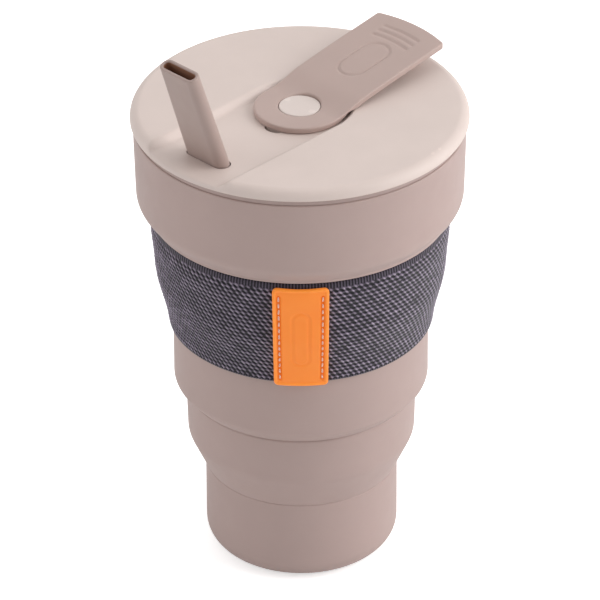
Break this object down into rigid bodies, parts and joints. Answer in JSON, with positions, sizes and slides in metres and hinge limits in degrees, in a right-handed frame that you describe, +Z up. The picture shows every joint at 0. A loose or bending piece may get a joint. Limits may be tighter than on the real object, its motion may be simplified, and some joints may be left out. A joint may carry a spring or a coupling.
{
  "type": "collapsible travel cup",
  "caption": "Collapsible silicone cup with stepped folding walls, plug-in lid, flat leaning straw, swinging strap stopper and a woven elastic grip sleeve.",
  "frame": {"origin": "centre of the base's underside, on the plane that the cup stands on", "axes": "+Z up along the cup's axis; -Y is the front, where the sleeve's label is; the strap is parked towards +X +Y and the straw stands towards -X -Y"},
  "size_m": [0.0966, 0.0966, 0.1756],
  "materials": {
    "silicone_body": "matt silicone, warm taupe",
    "silicone_strap": "matt silicone, lighter taupe",
    "lid_plastic": "fine satin polypropylene, pale beige",
    "collar_plastic": "satin polypropylene, taupe",
    "seal_silicone": "soft silicone",
    "button_plastic": "satin polypropylene, pale beige",
    "clip_plastic": "natural plastic",
    "straw_silicone": "matt silicone, taupe",
    "sleeve_elastic": "coarse woven elastic, grey purple",
    "label_rubber": "matt soft rubber, orange",
    "stitch_thread": "thick sewing thread, pale pink"
  },
  "bodies": {
    "base": {"base_cup": "silicone_body", "fold_web_1": "silicone_body"},
    "lower_ring": {"lower_ring": "silicone_body", "fold_web_2": "silicone_body"},
    "middle_ring": {"middle_ring": "silicone_body", "fold_web_3": "silicone_body"},
    "upper_ring": {"upper_ring": "silicone_body", "fold_web_4": "silicone_body"},
    "sleeve": {"elastic_sleeve": "sleeve_elastic", "sleeve_label": "label_rubber", "label_stitching_left": "stitch_thread", "label_stitching_right": "stitch_thread"},
    "rim": {"rim_band": "silicone_body", "mouth_collar": "collar_plastic"},
    "lid": {"lid": "lid_plastic", "lid_seal": "seal_silicone", "pivot_button": "button_plastic", "pivot_clip": "clip_plastic"},
    "strap": {"strap_hub": "silicone_strap"},
    "strap_arm": {"strap_arm": "silicone_strap"},
    "straw": {"straw": "straw_silicone"}
  },
  "joints": [
    {"name": "collapse", "type": "slide", "parent": "base", "child": "lower_ring", "axis": [0, 0, -1], "range_m": [0, 0.024], "deforming": ["fold_web_1"]},
    {"name": "middle_fold", "type": "slide", "parent": "lower_ring", "child": "middle_ring", "axis": [0, 0, -1], "range_m": [0, 0.014], "deforming": ["fold_web_2"]},
    {"name": "upper_fold", "type": "slide", "parent": "middle_ring", "child": "upper_ring", "axis": [0, 0, -1], "range_m": [0, 0.022], "deforming": ["fold_web_3"]},
    {"name": "rim_fold", "type": "slide", "parent": "upper_ring", "child": "rim", "axis": [0, 0, -1], "range_m": [0, 0.02], "deforming": ["fold_web_4"]},
    {"name": "sleeve_slip", "type": "slide", "parent": "upper_ring", "child": "sleeve", "axis": [0, 0, -1], "range_m": [0, 0.012]},
    {"name": "lid_lift", "type": "slide", "parent": "rim", "child": "lid", "axis": [0, 0, 1], "range_m": [0, 0.15]},
    {"name": "strap_swivel", "type": "hinge", "parent": "lid", "child": "strap", "pos_m": [0, 0, 0.1434], "axis": [0, 0, 1], "range_deg": [-140, 140]},
    {"name": "strap_flex", "type": "hinge", "parent": "strap", "child": "strap_arm", "pos_m": [0.00559, 0.00559, 0.1456], "axis": [0.7071, -0.7071, 0], "range_deg": [0, 65], "stiffness_Nm_per_rad": 0.004},
    {"name": "straw_slide", "type": "slide", "parent": "lid", "child": "straw", "axis": [-0.2244, -0.2244, 0.9483], "range_m": [0, 0.116]}
  ],
  "couplings": [
    {"joint": "middle_fold", "follows": "collapse", "ratio": 0.58333},
    {"joint": "upper_fold", "follows": "collapse", "ratio": 0.91666},
    {"joint": "rim_fold", "follows": "collapse", "ratio": 0.83333},
    {"joint": "straw_slide", "follows": "collapse", "ratio": 4.8208}
  ]
}
